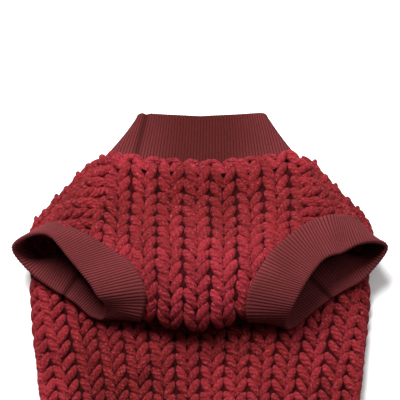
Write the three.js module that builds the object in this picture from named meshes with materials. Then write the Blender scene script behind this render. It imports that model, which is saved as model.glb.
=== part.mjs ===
// A small dog's sweater, lying on its back on a flat surface with the belly side up.
// Millimetres, +Z up, +Y towards the neck. The back rests on z = 0.
// Body: chunky plain knit in four pieces (front, back and two shoulder pieces).
// Bands: fine rib, doubled, as a collar and two leg cuffs.
import * as THREE from "three";

// Driving sizes.
const KNIT = 4.6; // wall of the chunky knit
const RIB = 2.6; // wall of the doubled rib
const SEAM = 0.35; // clearance where two pieces meet
const SEAM_OPEN = 1; // the same on the outside of a seam whose pieces meet at an angle
const SEAM_HOLE = 0.6; // the same between the chest and a cuff
const SIDE_ROUND = 6; // outer radius of the fold along the body's sides
const SHOULDER_ROUND = 6.5; // outer radius of the fold along the shoulders
const HEM_Y = -134; // the plain hem
const CORNER_Y = 88; // where side fold, shoulder piece and leg hole meet
const NECK_BACK_Y = 172.5; // back neckline
const COLLAR_TOP_Y = 204.5; // free edge of the collar at its corners
const COLLAR_DIP = 2.4; // how far that edge dips in the middle
const COLLAR_SEAM = { middleY: 161.6, endY: 172.6, endX: 64, bend: 2.2 }; // its curved seam on the front
const BACK_FLAT = 0.905; // share of the back's width, side seam to side seam, that lies flat
const SHOULDER_SWELL = 5; // how far a shoulder piece swells above the straight line across it
const EDGE_RISE = { from: 36, over: 26 }; // where the belly rises to its side folds, inwards from the side

// How finely each surface is divided.
const BELLY_STEPS = 16;
const CHEST_STEPS = 30;
const BACK_STEPS = { across: 12, body: 12, neck: 8, fold: 3 };
const SHOULDER_STEPS = { along: 14, over: 7, fold: 6, under: 4 };
const CUFF_STEPS = { up: 5, perStation: 2 };
const COLLAR_STEPS = { up: 6, across: 14, fold: 5 };

// Half width of the flat body, hem to leg holes.
const BODY = [
  { y: -134, half: 99 },
  { y: -90, half: 97 },
  { y: -40, half: 98.5 },
  { y: 0, half: 101.5 },
  { y: 30, half: 104.5 },
  { y: 60, half: 108 },
  { y: 88, half: 110 },
];

// Soft ridges of the belly: centre, half length along X, half length along Y, height.
const RIDGES = [
  { x: 4, y: -6, along: 52, across: 9, high: 4.5 },
  { x: -38, y: 22, along: 30, across: 14, high: 1.6 },
  { x: 46, y: 16, along: 34, across: 12, high: 2 },
  { x: -30, y: -44, along: 48, across: 10, high: 3 },
  { x: 44, y: -72, along: 40, across: 12, high: 3.4 },
  { x: -16, y: -104, along: 60, across: 11, high: 2.4 },
];

// The leg bands, station by station round the leg hole: seam point and free-edge point.
// Stations run from the top of the shoulder, down the chest side, under and back along the belly.
const LEFT_LEG = [
  { sx: -96, sy: 116.5, sz: 23, ex: -103, ey: 101, ez: 38 },
  { sx: -87, sy: 109, sz: 28, ex: -96, ey: 98.8, ez: 39 },
  { sx: -77, sy: 102.5, sz: 31, ex: -90, ey: 92.2, ez: 39 },
  { sx: -65.7, sy: 94.4, sz: 33, ex: -84, ey: 84.7, ez: 38.5 },
  { sx: -51.4, sy: 84.3, sz: 34.5, ex: -77, ey: 76.3, ez: 37.5 },
  { sx: -44, sy: 76.3, sz: 35, ex: -70, ey: 67.9, ez: 36 },
  { sx: -39, sy: 65.5, sz: 33.5, ex: -65.6, ey: 62.1, ez: 33 },
  { sx: -38.4, sy: 59, sz: 29, ex: -61, ey: 60.1, ez: 28 },
  { sx: -40.3, sy: 52.9, sz: 22, ex: -60.5, ey: 58.6, ez: 22 },
  { sx: -43, sy: 55, sz: 15.5, ex: -62.4, ey: 54.7, ez: 16.5 },
  { sx: -52, sy: 68, sz: 13.2, ex: -70, ey: 55.5, ez: 13.5 },
  { sx: -66, sy: 82, sz: 13.2, ex: -80, ey: 64.3, ez: 14.5 },
  { sx: -82, sy: 93, sz: 12.8, ex: -92.3, ey: 72, ez: 16 },
  { sx: -98, sy: 98, sz: 12.4, ex: -105.3, ey: 81.3, ez: 18 },
  { sx: -108, sy: 100, sz: 9, ex: -115.7, ey: 92, ez: 21 },
  { sx: -111.5, sy: 109, sz: 9, ex: -119, ey: 96.8, ez: 28 },
  { sx: -106, sy: 116, sz: 16, ex: -112.5, ey: 99.7, ez: 34 },
];
const RIGHT_LEG = [
  { sx: 97.5, sy: 119.9, sz: 24, ex: 101.4, ey: 95.3, ez: 34 },
  { sx: 87.1, sy: 115.9, sz: 29, ex: 91, ey: 89.4, ez: 36 },
  { sx: 74.8, sy: 110.4, sz: 31.5, ex: 84.5, ey: 86.8, ez: 37 },
  { sx: 67.9, sy: 106, sz: 33, ex: 78.5, ey: 83.2, ez: 37.5 },
  { sx: 53.9, sy: 93.4, sz: 34.5, ex: 72.8, ey: 76.5, ez: 37.5 },
  { sx: 44.8, sy: 82.4, sz: 35, ex: 68.2, ey: 69.8, ez: 36.5 },
  { sx: 38.4, sy: 71, sz: 35, ex: 64.4, ey: 64.3, ez: 34.5 },
  { sx: 33.8, sy: 61.4, sz: 32, ex: 59.8, ey: 56.6, ez: 31 },
  { sx: 33.2, sy: 52.4, sz: 25, ex: 56.6, ey: 52.4, ez: 25.5 },
  { sx: 36, sy: 52.5, sz: 17, ex: 55.6, ey: 49.6, ez: 18 },
  { sx: 45, sy: 60, sz: 13.2, ex: 60.5, ey: 48.3, ez: 13.4 },
  { sx: 60, sy: 76, sz: 13.2, ex: 76.7, ey: 61.9, ez: 13.8 },
  { sx: 79, sy: 91, sz: 12.8, ex: 91, ey: 71.7, ez: 15.5 },
  { sx: 97, sy: 97.5, sz: 12.4, ex: 103.4, ey: 78.4, ez: 18 },
  { sx: 107.5, sy: 99.5, sz: 9, ex: 113.1, ey: 89.2, ez: 21 },
  { sx: 111.8, sy: 109, sz: 9, ex: 119, ey: 97.2, ez: 27 },
  { sx: 107, sy: 117.5, sz: 17, ex: 111.2, ey: 97.7, ez: 32 },
];

// The front's middle line from the neckline down over the chest, round the fold and into the tuck.
// leg: the leg-hole station that carries the row's two ends; otherwise the ends are raglan points.
const CHEST = [
  { y: 161, z: 16, lx: -57.5, ly: 168.5, lz: 13.5, rx: 61.5, ry: 169.5, rz: 13.5 },
  { y: 153.5, z: 20.5, lx: -59.5, ly: 159, lz: 18, rx: 64, ry: 159, rz: 18.5 },
  { y: 139, z: 20, lx: -62, ly: 145, lz: 20.5, rx: 65.5, ry: 145, rz: 21 },
  { y: 123, z: 25, lx: -66.3, ly: 129, lz: 24.5, rx: 67, ry: 129, rz: 26.5 },
  { y: 109, z: 30, lx: -70.5, ly: 114, lz: 28.5, rx: 67.6, ry: 115, rz: 31 },
  { y: 97, z: 34, leg: 2, legRight: 3 },
  { y: 88, z: 36, leg: 3, legRight: 3.6 },
  { y: 79, z: 37.5, leg: 4, legRight: 4.5 },
  { y: 70, z: 38, leg: 5, legRight: 5.4 },
  { y: 60.5, z: 36.5, leg: 6, legRight: 6.4 },
  { y: 51.5, z: 32.5, leg: 7, legRight: 7.2 },
  { y: 45, z: 26.5, leg: 7.7, legRight: 7.8 },
  { y: 42.6, z: 20, leg: 8.2, legRight: 8.4 },
  { y: 44.6, z: 14.2, lx: -41.5, ly: 51, lz: 13.4, rx: 36.5, ry: 50, rz: 13.6 },
  { y: 52, z: 11.5, lx: -41.5, ly: 55, lz: 11.3, rx: 37, ry: 55, rz: 11.3 },
  { y: 60.2, z: 11.3, lx: -41.5, ly: 60.5, lz: 11.2, rx: 37, ry: 60.5, rz: 11.2 },
];
const TUCK_Y = 61.2; // the hidden turn between the tuck and the belly
const TUCK_LEFT = -41.5;
const TUCK_RIGHT = 37;

// The upper edge of the belly along each leg hole, from the underarm to the side.
const BELLY_EDGE = [
  { x: 37, y: 61.2 },
  { x: 47, y: 64 },
  { x: 60, y: 74 },
  { x: 74, y: 83 },
  { x: 88, y: 85.9 },
  { x: 99, y: 84.9 },
  { x: 112, y: 84.1 },
];

// Outer fold of each shoulder piece and its seam on the back, neck to side fold.
// The last two rows lie below the leg hole, where only the underside runs on.
const SHOULDERS = [
  { lx: -66, ly: 172, rx: 68.5, ry: 174, backX: 57, backY: 171.5 },
  { lx: -73.5, ly: 168.5, rx: 75, ry: 170, backX: 62, backY: 161 },
  { lx: -89, ly: 150.5, rx: 90.5, ry: 151, backX: 71, backY: 146 },
  { lx: -100.5, ly: 137, rx: 101, ry: 139, backX: 80, backY: 131 },
  { lx: -108.5, ly: 126, rx: 110, ry: 128, backX: 88, backY: 117.5 },
  { lx: -112, ly: 116.5, rx: 113.5, ry: 118, backX: 95, backY: 106 },
  { lx: -112, ly: 103, rx: 113, ry: 104, backX: 100, backY: 97.5 },
  { lx: -110, ly: 88.8, rx: 110, ry: 88.8, backX: 103.6, backY: 88.8 },
];
const LEG_ROW = 5; // the shoulder row that ends at the leg hole

// The collar from its seam up to its free edge: ends of the fold and height of the upper layer.
const COLLAR = [
  { left: -65, right: 66.5, round: 5.2, high: 15 },
  { left: -59, right: 60.8, round: 5.2, high: 12.6 },
  { left: -52.6, right: 55, round: 5, high: 10.4 },
  { left: -46.4, right: 49.4, round: 4.8, high: 9 },
  { left: -41.5, right: 44.5, round: 4.4, high: 8.2 },
];

const mix = (a, b, share) => a + (b - a) * share;
const clamp = (value, low, high) => Math.min(Math.max(value, low), high);
const steps = (count) => Array.from({ length: count + 1 }, (_, i) => i / count);
const ease = (t) => t * t * (3 - 2 * t);

// A smooth value through evenly spaced ones, at a fractional place; a ring closes on itself.
function through(values, place, ring) {
  const count = values.length;
  const first = ring ? Math.floor(place) : clamp(Math.floor(place), 0, count - 2);
  const pick = (i) => values[ring ? (i + count) % count : clamp(i, 0, count - 1)];
  const [a, b, c, d] = [pick(first - 1), pick(first), pick(first + 1), pick(first + 2)];
  const t = place - first;
  const bend = (2 * a - 5 * b + 4 * c - d) * t * t + (3 * b - a - 3 * c + d) * t * t * t;
  return 0.5 * (2 * b + (c - a) * t + bend);
}

// The value of one column of a table where another column has a given value.
function lookUp(table, key, at, column) {
  const ordered = table[0][key] < table[table.length - 1][key] ? table : [...table].reverse();
  const above = ordered.findIndex((row) => row[key] >= at);
  const high = above < 0 ? ordered.length - 1 : Math.max(above, 1);
  const share = (at - ordered[high - 1][key]) / (ordered[high][key] - ordered[high - 1][key]);
  return through(ordered.map((row) => row[column]), high - 1 + clamp(share, 0, 1), false);
}

// A closed wall: the grid holds the outer face, and the inner face lies behind it.
// A point may state its inner point; otherwise that lies along the surface's normal.
// A missing point leaves a hole in the grid; a wrapped grid closes on itself across its columns.
function wall(grid, thickness, wrapped) {
  const rows = grid.length;
  const columns = grid[0].length;
  const next = (j) => (wrapped ? (j + 1) % columns : j + 1);
  const quads = [];
  for (let i = 0; i + 1 < rows; i++) {
    for (let j = 0; j < (wrapped ? columns : columns - 1); j++) {
      const quad = [[i, j], [i, next(j)], [i + 1, next(j)], [i + 1, j]];
      if (quad.every(([r, c]) => grid[r][c])) quads.push(quad);
    }
  }
  const id = ([r, c]) => r * columns + c;
  const at = ([r, c]) => grid[r][c];
  const normals = new Map();
  for (const quad of quads) {
    const [a, b, c, d] = quad.map(at);
    const normal = c.clone().sub(a).cross(d.clone().sub(b)).normalize();
    for (const corner of quad) {
      if (!normals.has(id(corner))) normals.set(id(corner), new THREE.Vector3());
      normals.get(id(corner)).add(normal);
    }
  }
  const inner = (corner) => {
    const point = at(corner);
    if (point.inner) return point.inner;
    return point.clone().addScaledVector(normals.get(id(corner)).clone().normalize(), -thickness);
  };
  const positions = [];
  const face = (a, b, c, d) => {
    for (const p of [a, b, c, a, c, d]) positions.push(p.x, p.y, p.z);
  };
  const edges = new Map();
  for (const quad of quads) {
    face(...quad.map(at));
    face(...quad.map(inner).reverse());
    quad.forEach((corner, k) => {
      const other = quad[(k + 1) % 4];
      const twin = id(other) + "," + id(corner);
      if (edges.has(twin)) edges.delete(twin);
      else edges.set(id(corner) + "," + id(other), [corner, other]);
    });
  }
  for (const [a, b] of edges.values()) face(at(b), at(a), inner(a), inner(b));
  const geometry = new THREE.BufferGeometry();
  geometry.setAttribute("position", new THREE.Float32BufferAttribute(positions, 3));
  return geometry;
}

// A point of a leg band: on its seam, or on its free edge.
function legPoint(table, place, free) {
  const read = (axis) => through(table.map((row) => row[(free ? "e" : "s") + axis]), place, true);
  return new THREE.Vector3(read("x"), read("y"), read("z"));
}

// Upper face of the belly panel: two knit layers, the side folds a little proud, and the ridges.
function bellyHeight(x, y) {
  const half = lookUp(BODY, "y", Math.min(y, CORNER_Y), "half");
  const nearSide = ease(clamp((Math.abs(x) - half + EDGE_RISE.from) / EDGE_RISE.over, 0, 1));
  const flat = 2 * KNIT + SEAM;
  const folded = 2 * SIDE_ROUND + SEAM;
  let z = mix(flat, folded, nearSide);
  for (const ridge of RIDGES) {
    const reach = ((x - ridge.x) / ridge.along) ** 2 + ((y - ridge.y) / ridge.across) ** 2;
    z += ridge.high * Math.exp(-reach);
  }
  return z;
}

// A point of the flat body's outer face: u runs over the panel from side to side, top or underside.
function bodyPoint(u, y, upper) {
  const straight = lookUp(BODY, "y", y, "half") - SIDE_ROUND;
  const reach = Math.abs(u) * (straight + (SIDE_ROUND * Math.PI) / 2);
  const side = Math.sign(u);
  const turn = Math.max((reach - straight) / SIDE_ROUND, 0);
  const flatX = side * Math.min(reach, straight);
  const inOut = upper ? 1 : -1;
  const level = upper ? bellyHeight(flatX, y) - SIDE_ROUND : SIDE_ROUND;
  const at = (radius) =>
    new THREE.Vector3(flatX + side * radius * Math.sin(turn), y, level + inOut * radius * Math.cos(turn));
  const point = at(SIDE_ROUND);
  point.inner = at(SIDE_ROUND - KNIT);
  return point;
}

// Columns of the front: a share of them runs on over the chest, the rest ends at the leg holes.
// Towards the sides they crowd, because the fold needs them there.
const SIDE_COLUMNS = 9;
const CHEST_COLUMNS = 10;
const CROWDING = 1.9;
function frontColumns() {
  const reach = lookUp(BODY, "y", TUCK_Y, "half") - SIDE_ROUND + (SIDE_ROUND * Math.PI) / 2;
  const left = TUCK_LEFT / reach;
  const right = TUCK_RIGHT / reach;
  const outward = (share) => 1 - (1 - share) ** CROWDING;
  return [
    ...steps(SIDE_COLUMNS).slice(0, -1).map((s) => mix(left, -1, outward(1 - s))),
    ...steps(CHEST_COLUMNS).map((s) => mix(left, right, s)),
    ...steps(SIDE_COLUMNS).slice(1).map((s) => mix(right, 1, outward(s))),
  ];
}

function bellyTop(x) {
  const last = BELLY_EDGE[BELLY_EDGE.length - 1];
  return lookUp(BELLY_EDGE, "x", clamp(Math.abs(x), BELLY_EDGE[0].x, last.x), "y");
}

// The point of the chest at a fractional row of its table, across from -1 to 1.
function chestPoint(row, across) {
  const ends = CHEST.map((line) => {
    if (line.leg === undefined) return line;
    const l = legPoint(LEFT_LEG, line.leg, false);
    const r = legPoint(RIGHT_LEG, line.legRight, false);
    return { ...line, lx: l.x + SEAM_HOLE, ly: l.y, lz: l.z, rx: r.x - SEAM_HOLE, ry: r.y, rz: r.z };
  });
  const read = (column) => through(ends.map((line) => line[column]), row, false);
  const side = across < 0 ? "l" : "r";
  const share = Math.abs(across);
  const x = mix(read("lx"), read("rx"), (across + 1) / 2);
  const y = mix(read("y"), read(side + "y"), share ** 2);
  const z = mix(read("z"), read(side + "z"), share ** 3);
  return new THREE.Vector3(x, y, z);
}

function frontPanel() {
  const columns = frontColumns();
  const bellyRows = steps(BELLY_STEPS);
  const chestRows = steps(CHEST_STEPS).reverse();
  const grid = bellyRows.map((share) =>
    columns.map((u) => {
      const flatX = bodyPoint(u, BELLY_EDGE[0].y, true).x;
      return bodyPoint(u, mix(HEM_Y, bellyTop(flatX), share), true);
    }),
  );
  for (const share of chestRows) {
    const row = share * (CHEST.length - 1);
    const line = columns.map(() => null);
    steps(CHEST_COLUMNS).forEach((s, k) => {
      line[SIDE_COLUMNS + k] = chestPoint(row, s * 2 - 1);
    });
    grid.push(line);
  }
  return wall(grid, KNIT, false);
}

function backPanel() {
  const rounds = steps(BACK_STEPS.fold).slice(1).map((s) => mix(BACK_FLAT, 1, s));
  const middle = steps(BACK_STEPS.across).map((s) => mix(-BACK_FLAT, BACK_FLAT, s));
  const columns = [...rounds.map((u) => -u).reverse(), ...middle, ...rounds];
  const below = steps(BACK_STEPS.body).map((s) => mix(HEM_Y, CORNER_Y, s));
  const grid = below.map((y) => columns.map((u) => bodyPoint(u, y, false)));
  for (const share of steps(BACK_STEPS.neck)) {
    const row = (1 - share) * (SHOULDERS.length - 1);
    const y = through(SHOULDERS.map((line) => line.backY), row, false);
    const half = through(SHOULDERS.map((line) => line.backX), row, false) - SEAM;
    const line = columns.map((u) => {
      if (!middle.includes(u)) return null;
      const point = new THREE.Vector3((u / BACK_FLAT) * half, y, 0);
      point.inner = point.clone().setZ(KNIT);
      return point;
    });
    grid.push(line);
  }
  return wall(grid.reverse(), KNIT, false);
}

// A shoulder piece: from the raglan seam over the shoulder, round its fold and under to the back seam.
function shoulderPiece(side) {
  const left = side < 0;
  const key = left ? "l" : "r";
  const table = left ? LEFT_LEG : RIGHT_LEG;
  const joint = left ? 2 : 3; // the leg-hole station where the raglan seam ends
  const read = (column, row) => through(SHOULDERS.map((line) => line[column]), row, false);
  const foldAt = (row) => new THREE.Vector3(read(key + "x", row), read(key + "y", row), SHOULDER_ROUND);
  const outwardAt = (row) => {
    const ahead = Math.min(row + 0.5, SHOULDERS.length - 1);
    const along = foldAt(ahead).sub(foldAt(Math.max(ahead - 1, 0))).normalize();
    return new THREE.Vector3(-side * along.y, side * along.x, 0);
  };
  const turnAt = (row) => foldAt(row).addScaledVector(outwardAt(row), -SHOULDER_ROUND);
  const overAt = (row, s) => {
    const seam = chestPoint(Math.min(row, LEG_ROW), side);
    const point = new THREE.Vector3().lerpVectors(seam, turnAt(row), s);
    point.z = mix(seam.z, 2 * SHOULDER_ROUND, s);
    point.z += SHOULDER_SWELL * Math.sin(Math.PI * Math.min(row / LEG_ROW, 0.5)) * Math.sin(Math.PI * s);
    return point;
  };
  const grid = steps(SHOULDER_STEPS.along).map((share) => {
    const row = share * (SHOULDERS.length - 1);
    const line = [];
    for (const s of steps(SHOULDER_STEPS.over).slice(0, -1)) {
      const legEdge = legPoint(table, joint - (joint + 1) * s, false).sub(overAt(LEG_ROW, s));
      const point = overAt(row, s).addScaledVector(legEdge, ease(Math.min(row / LEG_ROW, 1)) ** 2);
      point.x += side * SEAM_OPEN * (1 - s);
      line.push(row > LEG_ROW ? null : point);
    }
    for (const s of steps(SHOULDER_STEPS.fold)) {
      const folded = (radius) => {
        const point = turnAt(row).addScaledVector(outwardAt(row), radius * Math.sin(Math.PI * s));
        return point.setZ(SHOULDER_ROUND + radius * Math.cos(Math.PI * s));
      };
      const point = folded(SHOULDER_ROUND);
      point.inner = folded(SHOULDER_ROUND - KNIT);
      line.push(row > LEG_ROW && s < 0.5 ? null : point);
    }
    const back = new THREE.Vector3(side * read("backX", row), read("backY", row), 0);
    for (const s of steps(SHOULDER_STEPS.under).slice(1)) {
      const point = turnAt(row).lerp(back, s).setZ(0);
      point.inner = point.clone().setZ(KNIT);
      line.push(point);
    }
    return left ? line : line.reverse();
  });
  return wall(grid, KNIT, false);
}

function cuff(table, side) {
  const around = table.length * CUFF_STEPS.perStation;
  const grid = steps(CUFF_STEPS.up).map((share) =>
    steps(around).slice(0, -1).map((s) => {
      const seam = legPoint(table, s * table.length, false);
      const edge = legPoint(table, s * table.length, true);
      const inset = new THREE.Vector3().subVectors(edge, seam).normalize().multiplyScalar(SEAM_OPEN);
      return seam.add(inset).lerp(edge, share);
    }),
  );
  return wall(side < 0 ? grid : grid.map((line) => line.reverse()), RIB, true);
}

// The collar: a flattened tube, its front seam dipping towards the chest.
function collar() {
  const grid = steps(COLLAR_STEPS.up).map((share) => {
    const row = share * (COLLAR.length - 1);
    const read = (column) => through(COLLAR.map((line) => line[column]), row, false);
    const left = read("left");
    const right = read("right");
    const round = read("round");
    const half = (right - left) / 2;
    const { middleY, endY, endX, bend } = COLLAR_SEAM;
    const frontY = (x) => mix(middleY, endY, Math.min(Math.abs(x) / endX, 1) ** bend);
    const topY = (x) => COLLAR_TOP_Y - COLLAR_DIP * Math.max(1 - Math.abs(x / half), 0);
    const place = (x, z, front) => {
      const y = mix(mix(NECK_BACK_Y, frontY(x), front), topY(x), share);
      return new THREE.Vector3(x, y, z);
    };
    const line = [];
    for (const s of steps(COLLAR_STEPS.across)) {
      const x = mix(left + round, right - round, s);
      const crown = ease(Math.min(Math.min(s, 1 - s) * 5, 1));
      line.push(place(x, mix(2 * round, read("high"), crown), 1));
    }
    for (const s of steps(COLLAR_STEPS.fold).slice(1, -1)) {
      const angle = Math.PI * s;
      const z = round * (1 + Math.cos(angle));
      line.push(place(right - round + round * Math.sin(angle), z, 1 - s));
    }
    for (const s of steps(COLLAR_STEPS.across)) line.push(place(mix(right - round, left + round, s), 0, 0));
    for (const s of steps(COLLAR_STEPS.fold).slice(1, -1)) {
      const angle = Math.PI * s;
      const z = round * (1 - Math.cos(angle));
      line.push(place(left + round - round * Math.sin(angle), z, s));
    }
    return line;
  });
  return wall(grid, RIB, true);
}

const knit = new THREE.MeshStandardMaterial({ color: 0x8e2c36, roughness: 0.95, metalness: 0 });
const rib = new THREE.MeshStandardMaterial({ color: 0x6b262c, roughness: 0.9, metalness: 0 });

const group = new THREE.Group();
group.position.y = -(HEM_Y + COLLAR_TOP_Y) / 2; // the origin is under the middle of the whole length
function add(name, geometry, material) {
  const mesh = new THREE.Mesh(geometry, material.clone());
  mesh.name = name;
  group.add(mesh);
}

add("front_panel", frontPanel(), knit);
add("back_panel", backPanel(), knit);
add("shoulder_left", shoulderPiece(-1), knit);
add("shoulder_right", shoulderPiece(1), knit);
add("cuff_left", cuff(LEFT_LEG, -1), rib);
add("cuff_right", cuff(RIGHT_LEG, 1), rib);
add("collar", collar(), rib);

export default group;
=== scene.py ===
# %% [markdown]
# # A small dog's knitted sweater
# The sweater lies on its back, belly side up. Its body is chunky plain knit in four cut pieces:
# front, back and two shoulder pieces, whose knit is turned a quarter round. The collar and the two
# leg cuffs are bands of fine rib, doubled over. Every piece is built here on the form of its
# solid in the frame, and gets what a solid can't have: stitches, ribs and wool.

# %% Load the frame
import math
import bpy
import numpy as np
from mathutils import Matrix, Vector


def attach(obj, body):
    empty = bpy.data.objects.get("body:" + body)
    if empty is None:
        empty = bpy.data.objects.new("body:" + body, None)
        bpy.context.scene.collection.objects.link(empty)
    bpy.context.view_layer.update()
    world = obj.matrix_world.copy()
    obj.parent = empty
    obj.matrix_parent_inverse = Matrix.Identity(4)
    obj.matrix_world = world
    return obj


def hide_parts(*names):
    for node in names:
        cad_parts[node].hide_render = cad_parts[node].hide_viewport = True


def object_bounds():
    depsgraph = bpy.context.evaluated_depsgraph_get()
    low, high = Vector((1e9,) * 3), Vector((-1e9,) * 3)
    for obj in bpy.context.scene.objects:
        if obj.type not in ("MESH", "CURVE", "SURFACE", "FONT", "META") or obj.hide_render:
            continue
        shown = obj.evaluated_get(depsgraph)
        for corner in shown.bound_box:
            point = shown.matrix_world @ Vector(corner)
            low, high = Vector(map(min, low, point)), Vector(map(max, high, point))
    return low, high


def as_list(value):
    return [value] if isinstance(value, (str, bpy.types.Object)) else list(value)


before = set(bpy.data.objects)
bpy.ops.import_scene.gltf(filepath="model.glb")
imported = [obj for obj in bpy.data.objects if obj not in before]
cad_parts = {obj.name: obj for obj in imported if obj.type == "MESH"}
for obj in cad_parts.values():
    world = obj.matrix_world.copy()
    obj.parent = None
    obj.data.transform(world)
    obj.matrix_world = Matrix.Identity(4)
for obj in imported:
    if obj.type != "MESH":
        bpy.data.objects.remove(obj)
cad_low, cad_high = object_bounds()
MM = 0.001
print("frame", [round(v / MM, 1) for v in cad_high - cad_low], "mm")

# %% [markdown]
# ## The sizes of the sweater
# A knitter's pattern is a handful of measurements, and so is this one. The tables below hold the
# same sizes as the solids, in millimetres, and the hem's place comes from the frame. Each table
# has named columns and one row for each station along the cloth.

# %% Pattern sizes
KNIT = 4.6  # wall of the chunky knit
RIB = 2.6  # wall of a doubled rib band
SEAM = 0.35  # clearance where two pieces meet
SEAM_HOLE = 0.6  # the same between the chest and a cuff
SIDE_ROUND = 6.0  # outer radius of the fold along the body's sides
SHOULDER_ROUND = 6.5  # outer radius of the fold along the shoulders
HEM_Y = -134.0
CORNER_Y = 88.0  # where side fold, shoulder piece and leg hole meet
NECK_BACK_Y = 172.5
COLLAR_TOP_Y = 204.5
COLLAR_DIP = 2.4
TUCK_Y = 61.2  # the hidden turn between the chest's tuck and the belly
SHIFT_Y = cad_low.y / MM - HEM_Y  # from the pattern's own y to the frame's


def table(columns, *rows):
    """A small table of sizes: one array for each named column."""
    return {name: np.array([row[k] for row in rows], float) for k, name in enumerate(columns.split())}


BODY = table("y half", (-134, 99), (-90, 97), (-40, 98.5), (0, 101.5), (30, 104.5), (60, 108), (88, 110))
LEFT_LEG = table(
    "sx sy sz ex ey ez",
    (-96, 116.5, 23, -103, 101, 38), (-87, 109, 28, -96, 98.8, 39), (-77, 102.5, 31, -90, 92.2, 39),
    (-65.7, 94.4, 33, -84, 84.7, 38.5), (-51.4, 84.3, 34.5, -77, 76.3, 37.5), (-44, 76.3, 35, -70, 67.9, 36),
    (-39, 65.5, 33.5, -65.6, 62.1, 33), (-38.4, 59, 29, -61, 60.1, 28), (-40.3, 52.9, 22, -60.5, 58.6, 22),
    (-43, 55, 15.5, -62.4, 54.7, 16.5), (-52, 68, 13.2, -70, 55.5, 13.5), (-66, 82, 13.2, -80, 64.3, 14.5),
    (-82, 93, 12.8, -92.3, 72, 16), (-98, 98, 12.4, -105.3, 81.3, 18), (-108, 100, 9, -115.7, 92, 21),
    (-111.5, 109, 9, -119, 96.8, 28), (-106, 116, 16, -112.5, 99.7, 34),
)
RIGHT_LEG = table(
    "sx sy sz ex ey ez",
    (97.5, 119.9, 24, 101.4, 95.3, 34), (87.1, 115.9, 29, 91, 89.4, 36), (74.8, 110.4, 31.5, 84.5, 86.8, 37),
    (67.9, 106, 33, 78.5, 83.2, 37.5), (53.9, 93.4, 34.5, 72.8, 76.5, 37.5), (44.8, 82.4, 35, 68.2, 69.8, 36.5),
    (38.4, 71, 35, 64.4, 64.3, 34.5), (33.8, 61.4, 32, 59.8, 56.6, 31), (33.2, 52.4, 25, 56.6, 52.4, 25.5),
    (36, 52.5, 17, 55.6, 49.6, 18), (45, 60, 13.2, 60.5, 48.3, 13.4), (60, 76, 13.2, 76.7, 61.9, 13.8),
    (79, 91, 12.8, 91, 71.7, 15.5), (97, 97.5, 12.4, 103.4, 78.4, 18), (107.5, 99.5, 9, 113.1, 89.2, 21),
    (111.8, 109, 9, 119, 97.2, 27), (107, 117.5, 17, 111.2, 97.7, 32),
)
CHEST = table(
    "y z", (161, 16), (153.5, 20.5), (139, 20), (123, 25), (109, 30), (97, 34), (88, 36), (79, 37.5),
    (70, 38), (60.5, 36.5), (51.5, 32.5), (45, 26.5), (42.6, 20), (44.6, 14.2), (52, 11.5), (60.2, 11.3),
)
RAGLAN = table(
    "lx ly lz rx ry rz", (-57.5, 168.5, 13.5, 61.5, 169.5, 13.5), (-59.5, 159, 18, 64, 159, 18.5),
    (-62, 145, 20.5, 65.5, 145, 21), (-66.3, 129, 24.5, 67, 129, 26.5), (-70.5, 114, 28.5, 67.6, 115, 31),
)
HOLE = table(
    "left right", (2, 3), (3, 3.6), (4, 4.5), (5, 5.4), (6, 6.4), (7, 7.2), (7.7, 7.8), (8.2, 8.4),
)
TUCK = table(
    "lx ly lz rx ry rz", (-41.5, 51, 13.4, 36.5, 50, 13.6), (-41.5, 55, 11.3, 37, 55, 11.3),
    (-41.5, 60.5, 11.2, 37, 60.5, 11.2),
)
BELLY_EDGE = table("x y", (37, 61.2), (47, 64), (60, 74), (74, 83), (88, 85.9), (99, 84.9), (112, 84.1))
SHOULDERS = table(
    "lx ly rx ry back_x back_y", (-66, 172, 68.5, 174, 57, 171.5), (-73.5, 168.5, 75, 170, 62, 161),
    (-89, 150.5, 90.5, 151, 71, 146), (-100.5, 137, 101, 139, 80, 131), (-108.5, 126, 110, 128, 88, 117.5),
    (-112, 116.5, 113.5, 118, 95, 106), (-112, 103, 113, 104, 100, 97.5), (-110, 88.8, 110, 88.8, 103.6, 88.8),
)
LEG_ROW = 5  # the shoulder row that ends at the leg hole
COLLAR = table(
    "left right round high", (-65, 66.5, 5.2, 15), (-59, 60.8, 5.2, 12.6), (-52.6, 55, 5, 10.4),
    (-46.4, 49.4, 4.8, 9), (-41.5, 44.5, 4.4, 8.2),
)
# Soft ridges and troughs of the cloth: centre, half length, half width, turn from the x axis, height.
BELLY_FOLDS = table(
    "x y along across turn high", (4, -6, 52, 9, 0, 4.5), (-38, 22, 30, 14, 0, 1.6), (46, 16, 34, 12, 0, 2),
    (-30, -44, 48, 10, 0, 3), (44, -72, 40, 12, 0, 3.4), (-16, -104, 60, 11, 0, 2.4),
    (-78, 44, 26, 6, 70, -1.2), (80, 40, 28, 6, -68, -1.4), (6, 18, 60, 7, 4, -0.8),
)
BACK_FOLDS = table(
    "x y along across turn high", (-30, 60, 50, 7, 12, 1.3), (42, 10, 44, 8, -16, 1.5),
    (-48, -40, 40, 7, 24, 1.2), (20, -88, 56, 8, -7, 1.6), (30, 120, 34, 7, 18, 1.2),
)
print(len(CHEST["y"]), "chest rows,", len(LEFT_LEG["sx"]), "stations round each leg hole")

# %% [markdown]
# ## Reading the tables
# A smooth value between the rows comes from a Catmull-Rom curve, the same one that shaped the
# solids, so a point worked out here lies on its solid. Everything works on whole arrays at once.


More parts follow.
